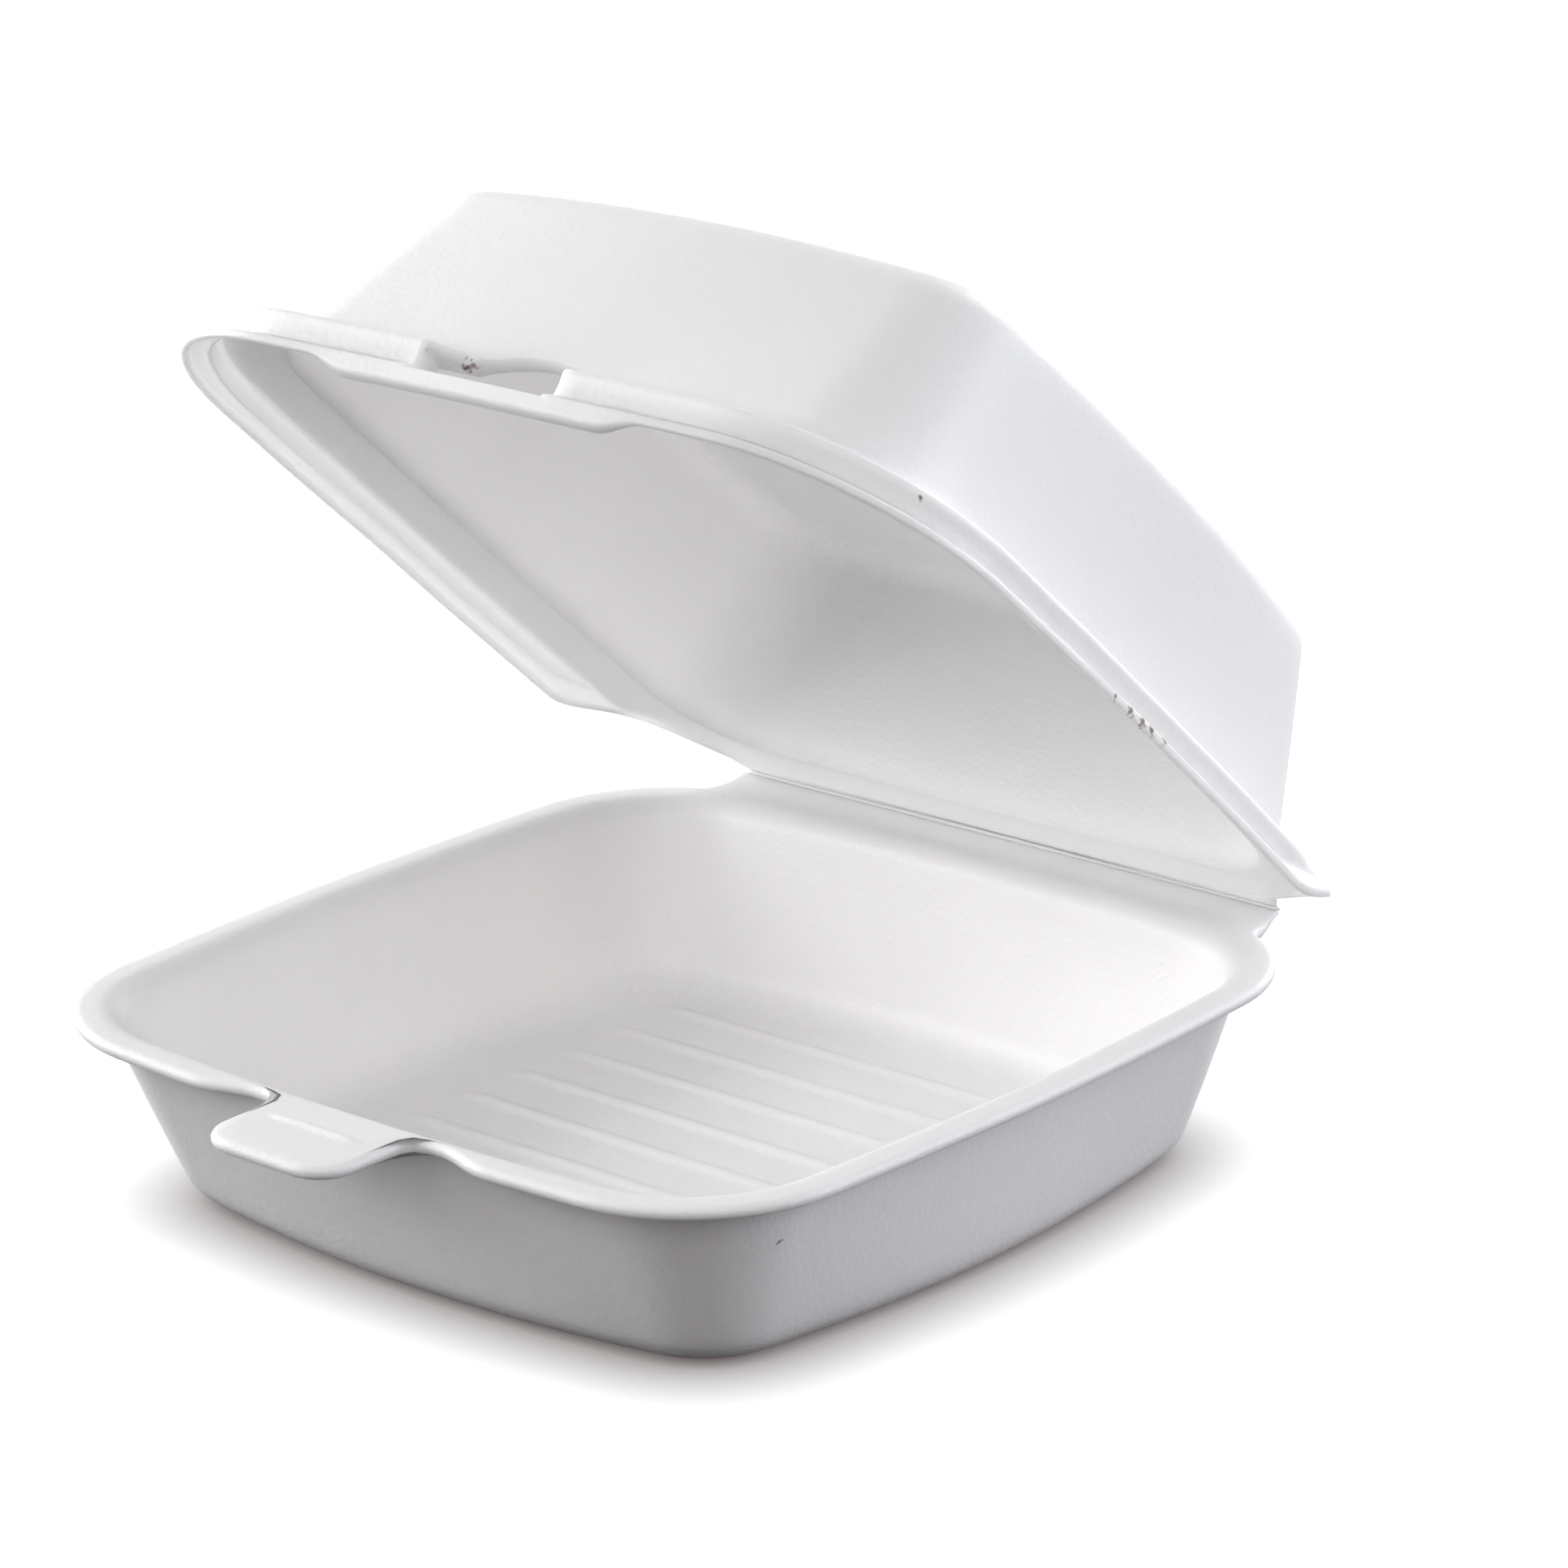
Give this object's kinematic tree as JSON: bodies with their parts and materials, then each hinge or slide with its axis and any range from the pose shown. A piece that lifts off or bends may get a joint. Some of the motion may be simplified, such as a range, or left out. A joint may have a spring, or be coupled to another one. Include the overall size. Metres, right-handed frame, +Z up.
{
  "type": "foam clamshell container",
  "caption": "Hinged foam sandwich box with a ribbed tray, a domed lid, and a tab on the tray's rim that closes through a slot in the lid.",
  "frame": {"origin": "on the surface it stands on, straight below the middle of the tray's rim", "axes": "+Z up, -Y to the front with the tab, +X to the right of someone who faces the back"},
  "size_m": [0.1578, 0.1877, 0.1524],
  "materials": {
    "foam": "satin foam skin"
  },
  "bodies": {
    "base": {"base": "foam"},
    "lid": {"lid": "foam"}
  },
  "joints": [
    {"name": "lid_hinge", "type": "hinge", "parent": "base", "child": "lid", "pos_m": [0, 0.08035, 0.0336], "axis": [-1, 0, 0], "range_deg": [-39.1, 117.5]}
  ]
}
